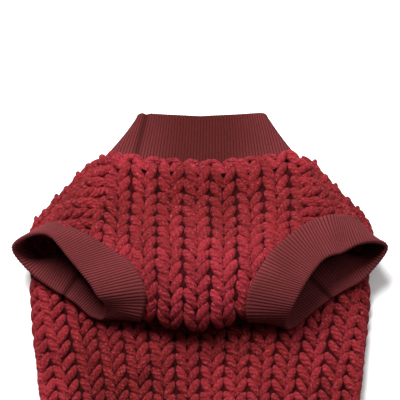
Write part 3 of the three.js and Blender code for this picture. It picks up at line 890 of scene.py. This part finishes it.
chest = stitches_on(
    lambda a, b: chest_at_x(-b, a), x, -row, CHEST_COLUMN, CHEST_ROW, on_chest, chest_painted_light,
    proud=lambda up: NECK_RIDGE * np.exp(-((up / 0.7) ** 2)), curled=lambda up: (up < -7.6) & (up > -13),
)
front_stitches = legs("front_stitches", belly + chest, 3)

# %% [markdown]
# ## Back panel
# The back lies on the table, so it is flat. It is wider than it looks from above: at both sides it
# runs up round the fold to meet the front. Above the leg holes it narrows to the neck.

# %% Back panel
BACK_FLAT = 0.905  # share of the panel's width, seam to seam, that lies flat
BACK_GRID_ROWS = (60, 34)  # below and above the leg holes


def back_half(y):
    return look_up(SHOULDERS, "back_y", y, "back_x") - SEAM


def back_grid():
    below, above = BACK_GRID_ROWS
    side = np.linspace(BACK_FLAT, 1, 7)[1:]
    u = np.concatenate([-side[::-1], np.linspace(-BACK_FLAT, BACK_FLAT, 41), side])
    y = np.linspace(HEM_Y, CORNER_Y, below)[:, None]
    low = body_point(u[None, :] * side_reach(y), y, False)
    row = np.linspace(SHOULDER_LAST, 0, above)[:, None]
    high_y = through(SHOULDERS["back_y"], row)
    high_x = u[None, :] / BACK_FLAT * (through(SHOULDERS["back_x"], row) - SEAM)
    high = xyz(high_x, high_y, folds(BACK_FOLDS, high_x, high_y))
    kept = np.ones((below + above, len(u)), bool)
    kept[below:, np.abs(u) > BACK_FLAT + 1e-6] = False
    return np.concatenate([low, high])[::-1], kept[::-1]


back_ground = ground("back_ground", *back_grid(), knit_ground)


def back_limit(x, y):
    upper_part = y > CORNER_Y
    return (~upper_part | (np.abs(x) < back_half(y) - 2.5)) & (y < NECK_BACK_Y - 4)


back = body_stitches(False, np.arange(HEM_Y + 5, NECK_BACK_Y, BELLY_ROW), 0.0, back_limit)
back_stitches = legs("back_stitches", back, 8)

# %% [markdown]
# ## Shoulder pieces
# These are cut from the same knit turned a quarter round, so their columns run across the
# shoulder, V points to the right on both sides. Each column keeps one height on the body, so the
# row of the surface that gives that height has to be found first. The stitches are counted from
# the crest of the fold, where the outline shows them.

# %% Shoulder pieces
SHOULDER_COLUMN = 16.6
SHOULDER_ROW = 6.9
NECK_STITCH = 6.4
FOLD_GROUND = 1.6  # the ground lies nearer the surface at the fold, so that its outline is soft
SHOULDER_LEVELS = (94.0, 176.0)  # y from the leg hole to the collar
FIRST_LEG = 1.8  # from the raglan seam to the first leg, and 5.5 to the next one
SECOND_LEG = 5.5
CREST_SHIFT = 1.7  # the leg on the crest of the fold stands this far past it
HALF_STEP = 0.6  # a small step along a column, for its direction


def shoulder_grid(side):
    row = np.linspace(0, SHOULDER_LAST, 57)[:, None]
    v = np.concatenate([np.linspace(0, 1, 25)[:-1], np.linspace(1, 2, 15), np.linspace(2, 3, 17)[1:]])[None]
    points = shoulder_point(side, row, v)
    kept = ~((row > LEG_ROW + 1e-6) & (v < 1.5 - 1e-6))
    depth = mix(GROUND_DEPTH, FOLD_GROUND, ease((v - 0.5) / 0.5)) + 0 * row
    turned = slice(None, None, -side)
    return points[:, turned], kept[:, turned], knit_yarn, depth[:, turned]


def shoulder_stitches(side):
    v_fine = np.linspace(0.0, 2.96, 240)
    row_fine = np.linspace(0, SHOULDER_LAST, 160)
    levels = -shoulder_point(side, row_fine[:, None], v_fine[None, :])[..., 1]
    made = []
    for y in np.arange(*SHOULDER_LEVELS, SHOULDER_COLUMN):
        for kind, leg in enumerate((-1, 1)):
            level = -y - leg * SHOULDER_COLUMN / 4
            rows = np.array([
                np.interp(level, levels[:, k], row_fine, left=-1, right=99) for k in range(len(v_fine))
            ])
            known = (rows > 0.04) & (rows < np.where(v_fine < 1.8, LEG_ROW - 0.3, SHOULDER_LAST - 0.05))
            if known.sum() < 8:
                continue
            v_known, rows = v_fine[known], rows[known]
            run = run_along(shoulder_point(side, rows, v_known))

            def place(length):
                return np.interp(length, run, rows), np.interp(length, run, v_known)

            counted = np.arange(-40, 41) * SHOULDER_ROW + np.interp(1.5, v_known, run) + CREST_SHIFT
            counted = np.concatenate([
                [FIRST_LEG], counted[(counted > SECOND_LEG) & (counted < run[-1] - 0.5)]
            ])
            row, v = place(counted)
            ahead, behind = (shoulder_point(side, *place(counted + step)) for step in (HALF_STEP, -HALF_STEP))
            outwards = unit(ahead - behind)
            down = unit(shoulder_point(side, row + STEP, v) - shoulder_point(side, row - STEP, v))
            normal = unit(np.cross(outwards, down)) * -side
            puff = NECK_RIDGE * np.exp(-((row / 0.5) ** 2)) * (v < 1.2)
            curl = 2 * ((v > 0.5) & (v < 2.3))
            made.append((
                shoulder_point(side, row, v) + normal * puff[:, None], outwards * -side, normal,
                SHOULDER_COLUMN * (1 + 0.1 * curl), (SHOULDER_ROW + 1) * (1 - 0.14 * curl), kind + curl,
                # a middling share of painted light on the shoulders
                0 * v + 0.35,
            ))
    return made


def neck_ridge():
    """Short fat legs that roll over the neckline seam, from one shoulder's fold to the other's."""
    over = np.linspace(1.1, 0, 60)
    left = shoulder_point(-1, 0.1, over)
    right = shoulder_point(1, 0.1, over[::-1])
    front = chest_point(np.full(80, 0.05), np.linspace(-0.98, 0.98, 80))
    line = np.concatenate([left, front, right])
    run = run_along(line)
    at = np.arange(2.0, run[-1] - 2.0, NECK_STITCH)

    def read_at(d):
        return np.stack([np.interp(d, run, line[:, k]) for k in range(3)], axis=-1)

    along = unit(read_at(at + 2.5) - read_at(at - 2.5))
    outward = unit(np.cross(along, np.broadcast_to([0.0, 1.0, 0.0], along.shape)))
    up = unit(np.cross(outward, along))
    point = read_at(at) + up * 1.2 + outward * NECK_RIDGE
    # The ridge's stitches carry a high share of painted light.
    wide, pitch, bloom = (np.full(len(at), value) for value in (15.0, 5.2, 0.75))
    return [(point, up, outward, wide, pitch, np.arange(len(at)) % 2, bloom)]


shoulders = {}
for side, word in ((-1, "left"), (1, "right")):
    made = ground("shoulder_ground_" + word, *shoulder_grid(side))
    shoulders[word] = (made, legs("shoulder_stitches_" + word, shoulder_stitches(side), 20 + side))
ridge_stitches = legs("neck_ridge_stitches", neck_ridge(), 31)

# %% [markdown]
# ## Fine rib bands
# One-and-one rib is a row of narrow ridges with a fine groove between them, running from the seam
# to the free edge. The band is doubled, so its free edge is a soft round fold and not a cut one.
# The band is a closed tube of cloth: outer face, fold, inner face and seam end. It is smooth at
# first, with an attribute that counts the ribs round it, and Geometry Nodes push the ridges out.

# %% Rib tree
rib_tree, rib_in, rib_out = new_tree(
    "GeometryNodeTree", "rib_ridges",
    [
        ("Geometry", "NodeSocketGeometry", None),
        ("Rib Depth", "NodeSocketFloat", 0.0004),
        ("Join At", "NodeSocketFloat", 10.0),
        ("Join Depth", "NodeSocketFloat", 0.0009),
        ("Material", "NodeSocketMaterial", None),
    ],
    [("Geometry", "NodeSocketGeometry")],
)


def rib_wave(tree, count):
    """1 on the crown of each rib and 0 in the grooves, from a count that grows by 1 a rib."""
    return maths(tree, "ABSOLUTE", maths(tree, "COSINE", times(tree, count, math.pi)))


count_of = read(rib_tree, "rib_count")
crest = maths(rib_tree, "SUBTRACT", maths(rib_tree, "POWER", rib_wave(rib_tree, count_of), 0.8), 0.75)
from_join = maths(rib_tree, "SUBTRACT", count_of, rib_in["Join At"])
dip = maths(rib_tree, "EXPONENT", times(rib_tree, times(rib_tree, from_join, from_join), -0.8))
raised = times(rib_tree, crest, rib_in["Rib Depth"])
lift = maths(rib_tree, "SUBTRACT", raised, times(rib_tree, dip, rib_in["Join Depth"]))
lift = times(rib_tree, lift, read(rib_tree, "rib_share"))
normal = add(rib_tree, "GeometryNodeInputNormal").outputs["Normal"]
push = add(rib_tree, "ShaderNodeVectorMath", {0: normal, 3: lift}, operation="SCALE")
marked = mark(rib_tree, rib_in["Geometry"], "join", dip)
moved = add(rib_tree, "GeometryNodeSetPosition", {"Geometry": marked, "Offset": push.outputs[0]})
finish_tree(rib_tree, moved.outputs[0], rib_in["Material"], rib_out["Geometry"])
print("rib tree with", len(rib_tree.nodes), "nodes")

# %% [markdown]
# Rib yarn is thinner and duller than the body's, a brownish maroon. Its grooves are painted in
# shade and its ridges painted lit, more so where the band carries more painted light. The band's
# own UV map places them: across it counts the ribs, along it measures millimetres, so the tiny
# stitches up each ridge are bump on the same map.

# %% Rib material
# Rib colours: painted shade in the grooves, the ridges' own red, their painted lit copy and painted glints.
GROOVE = (0.024, 0.0036, 0.003, 1.0)
RIDGE = (0.052, 0.0072, 0.006, 1.0)
RIDGE_LIT = (0.125, 0.022, 0.025, 1.0)
RIB_GLINT = (0.22, 0.055, 0.06, 1.0)
CHAIN_PITCH = 1.6  # height of one tiny stitch up a ridge

rib_yarn, tree, shader = principled("rib_yarn", RIDGE, 0.92, 0.02)
fibre = add(tree, "ShaderNodeGroup", {"Fibre Scale": 1500.0, "Drift Scale": 26.0}, node_tree=wool).outputs
uv = add(tree, "ShaderNodeSeparateXYZ", {0: add(tree, "ShaderNodeUVMap", uv_map="rib_uv").outputs[0]}).outputs
wave = rib_wave(tree, uv["X"])
crown = add(tree, "ShaderNodeMapRange", {"Value": wave, "From Min": 0.1, "From Max": 0.75}).outputs["Result"]
chain = maths(tree, "SINE", times_plus(tree, uv["Y"], 2 * math.pi / CHAIN_PITCH, times(tree, wave, 2.4)))
# Painted light on the ridges, painted shade in the grooves.
ridge_light = times(tree, painted(tree, "bloom"), times_plus(tree, fibre["Drift"], 0.5, 0.7))
rib_red = blend_colour(tree, crown, GROOVE, blend_colour(tree, ridge_light, RIDGE, RIDGE_LIT))
# Painted glints on the rib.
rib_red = blend_colour(tree, times(tree, fibre["Fibre Glints"], 0.22), rib_red, RIB_GLINT)
rib_red = blend_colour(tree, times(tree, painted(tree, "join"), 0.75), rib_red, GROOVE)
tree.links.new(rib_red, shader.inputs["Base Color"])
add_bump(tree, shader, times_plus(tree, chain, 0.3, fibre["Height"]), 0.4, 0.0004)
print("rib material", rib_yarn.name)

# %% Rib bands
RIB_SAMPLES = 7  # points round the band for each rib
FOLD_POINTS = 7  # points round the fold of the free edge
SEAM_FADE = 0.12  # the ribs rise over this share of the height, from the seam


def band(name, surface, rows_up, count_at, ribs, join_at, painted_light_at):
    """A doubled band on surface(turn, share), both from 0 to 1; count_at numbers the ribs."""
    columns = ribs * RIB_SAMPLES
    turn = np.arange(columns) / columns
    length = np.linalg.norm(surface(turn, np.ones(columns)) - surface(turn, np.zeros(columns)), axis=1)
    last = 1 - RIB / 2 / length
    e = 1e-3

    def frame_at(share):
        up = unit(surface(turn, share + e) - surface(turn, share - e))
        round_ = surface(turn + 2 * e, share) - surface(turn - 2 * e, share)
        return surface(turn, share), up, unit(np.cross(round_, up))

    loops, shares = [], []
    for share in np.linspace(0, 1, rows_up):
        point, up, out = frame_at(share * last)
        loops.append(point)
        shares.append(share)
    for angle in np.linspace(0, math.pi, FOLD_POINTS)[1:-1]:
        point, up, out = frame_at(last)
        loops.append(point - out * RIB / 2 + RIB / 2 * (out * math.cos(angle) + up * math.sin(angle)))
        shares.append(1.0)
    for share in np.linspace(1, 0, rows_up):
        point, up, out = frame_at(share * last)
        loops.append(point - out * RIB)
        shares.append(share)
    points, shares = np.array(loops), np.array(shares)
    around = len(loops)
    i, j = np.divmod(np.arange(around * columns), columns)
    n, m = (i + 1) % around, (j + 1) % columns
    faces = np.stack([i * columns + j, i * columns + m, n * columns + m, n * columns + j], axis=1)
    made = mesh_object(name, points.reshape(-1, 3), faces.tolist())

    count = count_at(turn[None, :], shares[:, None])
    store(made, "rib_count", "FLOAT", count)
    store(made, "rib_share", "FLOAT", np.broadcast_to(ease(shares / SEAM_FADE)[:, None], count.shape))
    # Each point's share of painted light.
    store(made, "bloom", "FLOAT", np.broadcast_to(painted_light_at(points[..., 0]), count.shape).astype(float))
    height = np.concatenate([[0], np.cumsum(np.linalg.norm(np.diff(points, axis=0), axis=2).mean(axis=1))])
    wrap = np.where(m == 0, ribs, 0)
    next_height = np.where(n == 0, height[i] + 1, height[n])
    u = np.stack([count[i, j], count[i, m] + wrap, count[n, m] + wrap, count[n, j]], axis=1)
    v = np.stack([height[i], height[i], next_height, next_height], axis=1)
    made.data.uv_layers.new(name="rib_uv").data.foreach_set("uv", np.stack([u, v], axis=-1).ravel())
    apply_tree(made, rib_tree, {"Join At": float(join_at), "Material": rib_yarn})
    print(name, ribs, "ribs,", 2 * len(faces), "triangles")
    return made


# %% [markdown]
# ## Cuffs
# Each cuff is sewn into its leg hole and stands open, its lower end folded under against the
# belly. The ribs are spaced by real length round the middle of the band, whatever the spacing of
# the stations. The band's own join shows on the layer that lies on the belly.

# %% Cuffs
RIB_PITCH = 1.75
BAND_TUCK = 4.0  # how far a band runs in under the knit it is sewn to
BAND_INSET = 4.0  # how far inside the knit wall it is held on the outer side of the leg
INSET_FROM, INSET_OVER = 12, 16  # the inset starts this far inside the hole's middle and is full after this
# The cuffs carry a high share of painted light, nearly all the lit ridge colour.
CUFF_PAINTED_LIGHT = 0.85
DENTS = table(
    "side place share wide deep", (1, 1.1, 0.75, 0.7, 2.4), (-1, 2.6, 0.7, 0.9, 1.2), (1, 5.2, 0.6, 1.2, 1.0)
)
DENT_HEIGHT = 0.35  # of the band's height


def cuff(name, rows, side, join_place):
    stations = len(rows["sx"])
    fine = np.linspace(0, stations, 4001)
    run = run_along(mix(leg_point(rows, fine, False), leg_point(rows, fine, True), 0.5))
    ribs = int(round(run[-1] / RIB_PITCH))
    hole_centre = leg_point(rows, fine, False).mean(axis=0)

    def outer_side(seam):
        return ease((seam[..., 0] - hole_centre[0]) * side / INSET_OVER - INSET_FROM / INSET_OVER)

    def surface(turn, share):
        turn, share = np.broadcast_arrays(turn, share)
        place = np.interp((turn if side < 0 else 1 - turn) % 1.0, run / run[-1], fine)
        seam = leg_point(rows, place, False)
        edge = leg_point(rows, place, True)
        inward = unit(hole_centre - seam) * BAND_INSET * outer_side(seam)[..., None]
        point = mix(seam - unit(edge - seam) * BAND_TUCK + inward, edge, share[..., None])
        for which, dent_place, dent_share, wide, deep in zip(*DENTS.values()):
            near = ((place - dent_place) / wide) ** 2 + ((share - dent_share) / DENT_HEIGHT) ** 2
            point[..., 2] -= (which == side) * deep * np.exp(-near)
        return point

    at = np.interp(join_place, fine, run / run[-1])
    join = (at if side < 0 else 1 - at) * ribs
    return band(name, surface, 12, lambda t, s: t * ribs + 0 * s, ribs, join, lambda x: CUFF_PAINTED_LIGHT + 0 * x)


cuff_left = cuff("cuff_band_left", LEFT_LEG, -1, 11.6)
cuff_right = cuff("cuff_band_right", RIGHT_LEG, 1, 11.5)

# %% [markdown]
# ## Collar
# The collar is a tapering tube, flattened: its front seam dips towards the chest and its free edge
# sags a little between the two corners. Towards that edge the ribs turn round the side folds to the
# back, which is why the join leans less than the collar's side.

# %% Collar
COLLAR_RIBS = 132
COLLAR_TUCK = 3.5  # how far it runs in under the knit
RIB_TURN = 0.045  # how far the ribs move round the folds at the free edge, as a share of the round
FRONT_SEAM = (161.6, 172.6)  # y of the front seam, in the middle and at the corners
COLLAR_JOIN = 0.09  # the join's place, as a share of the round


def collar_surface(turn, share):
    """turn from 0 to 0.5 is the front layer, left to right, and on to 1 the back layer."""
    turn, share = np.broadcast_arrays(np.asarray(turn, float), np.asarray(share, float))
    turn = turn % 1.0
    rows = share * (len(COLLAR["left"]) - 1)
    left, right, bend, high = (through(COLLAR[k], rows) for k in ("left", "right", "round", "high"))
    half = (right - left) / 2
    flat = (right - left) - 2 * bend
    arc = math.pi * bend
    run = turn * 2 * (flat + arc)
    # Four stretches: half the left fold, the front, the right fold, the back, and half the left fold again.
    s = run - arc / 2
    front = np.clip(s / flat, 0, 1)
    x_front = mix(left + bend, right - bend, front)
    crown = ease(np.minimum(np.minimum(front, 1 - front) * 5, 1))
    z_front = mix(2 * bend, high, crown)
    right_angle = np.clip((s - flat) / arc, 0, 1) * math.pi
    back = np.clip((s - flat - arc) / flat, 0, 1)
    left_share = np.where(s < 0, (s + arc / 2) / arc + 0.5, np.clip((s - 2 * flat - arc) / arc, 0, 1))
    left_angle = left_share * math.pi
    on_front = (s >= 0) & (s <= flat)
    on_right = (s > flat) & (s < flat + arc)
    on_back = (s >= flat + arc) & (s <= 2 * flat + arc)
    stretches = [on_front, on_right, on_back]
    x = np.select(
        stretches, [x_front, right - bend + bend * np.sin(right_angle), mix(right - bend, left + bend, back)],
        left + bend - bend * np.sin(left_angle),
    )
    z = np.select(
        stretches, [z_front, bend * (1 + np.cos(right_angle)), 0 * s], bend * (1 - np.cos(left_angle))
    )
    lift = np.select(stretches, [1 + 0 * s, 1 - right_angle / math.pi, 0 * s], left_angle / math.pi)
    front_seam = mix(*FRONT_SEAM, np.minimum(np.abs(x) / 64, 1) ** 2.2)
    top = COLLAR_TOP_Y - COLLAR_DIP * np.maximum(1 - np.abs(x / half), 0)
    y = mix(mix(NECK_BACK_Y, front_seam, lift) - COLLAR_TUCK, top, share)
    return xyz(x, y, z)


def collar_count(turn, share):
    return COLLAR_RIBS * (turn + RIB_TURN * share * np.cos(2 * math.pi * turn))


def collar_painted_light(x):
    """Painted light at the sides, painted shade deep in the middle."""
    return 0.72 * ease((np.abs(x - 2) - 12) / 40)


collar = band(
    "collar_band", collar_surface, 14, collar_count, COLLAR_RIBS, COLLAR_RIBS * COLLAR_JOIN, collar_painted_light
)

# %% [markdown]
# ## Riding
# Nothing on the sweater moves, so every piece rides on the one body, and the stitches ride with
# their ground.

pieces = [
    (front_ground, [front_stitches, ridge_stitches], "front_panel", "knit", (0.222, 0.363), 0.058),
    (back_ground, [back_stitches], "back_panel", "knit", (0.228, 0.307), 0.059),
    (shoulders["left"][0], [shoulders["left"][1]], "shoulder_left", "knit", (0.102, 0.076), 0.0039),
    (shoulders["right"][0], [shoulders["right"][1]], "shoulder_right", "knit", (0.103, 0.087), 0.0039),
    (cuff_left, [], "cuff_left", "rib", (0.198, 0.022), None),
    (cuff_right, [], "cuff_right", "rib", (0.21, 0.024), None),
    (collar, [], "collar", "rib", (0.23, 0.04), None),
]
for cloth, stitches, node_name, slot, flat_size, area in pieces:
    for piece in [cloth, *stitches]:
        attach(piece, "root")
    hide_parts(node_name)
    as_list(stitches)

# %% [markdown]
# ## Table, light and camera
# The sweater is shown on a white table from above and in front, through a long lens, in the
# soft light of a big window at the upper left.

# %% Stage
bpy.context.scene.view_settings.view_transform = "Standard"
floor_mesh = bpy.data.meshes.new("floor")
floor_mesh.from_pydata([(-3, -3, 0), (3, -3, 0), (3, 3, 0), (-3, 3, 0)], [], [(0, 1, 2, 3)])
floor = bpy.data.objects.new("floor", floor_mesh)
bpy.context.scene.collection.objects.link(floor)
floor_material, tree, shader = principled("floor_white", (0.9, 0.9, 0.9, 1.0), 0.8, 0.0)
floor_mesh.materials.append(floor_material)

world = bpy.data.worlds.new("room")
world.use_nodes = True
world.node_tree.nodes["Background"].inputs["Color"].default_value = (1.0, 0.99, 0.98, 1.0)
world.node_tree.nodes["Background"].inputs["Strength"].default_value = 0.12
bpy.context.scene.world = world


def soft_light(name, place, aim, size, power):
    lamp = bpy.data.lights.new(name, "AREA")
    lamp.shape = "SQUARE"
    lamp.size = size
    lamp.energy = power
    made = bpy.data.objects.new(name, lamp)
    made.location = place
    made.rotation_euler = (aim - made.location).to_track_quat("-Z", "Y").to_euler()
    bpy.context.scene.collection.objects.link(made)


middle = (cad_low + cad_high) / 2
soft_light("window", (-0.35, 0.75, 1.15), middle, 0.8, 46.0)
soft_light("fill", (0.8, 0.3, 1.2), middle, 0.9, 8.0)

CAMERA_RAISED = 65.0
CAMERA_AWAY = 1.6
VIEW_WIDE = 0.26
VIEW_MIDDLE = (0.099, 0.02)  # y and z of the point it looks at
look_at = middle.copy()
look_at.yz = VIEW_MIDDLE
lens = bpy.data.cameras.new("camera")
lens.sensor_width = 36.0
lens.lens = 36.0 * CAMERA_AWAY / VIEW_WIDE
lens.clip_end = 20.0
camera = bpy.data.objects.new("camera", lens)
raised = math.radians(CAMERA_RAISED)
camera.location = (
    look_at.x, look_at.y - CAMERA_AWAY * math.cos(raised), look_at.z + CAMERA_AWAY * math.sin(raised)
)
camera.rotation_euler = (math.pi / 2 - raised, 0, 0)
bpy.context.scene.collection.objects.link(camera)
bpy.context.scene.camera = camera
print("camera at", [round(v, 3) for v in camera.location])
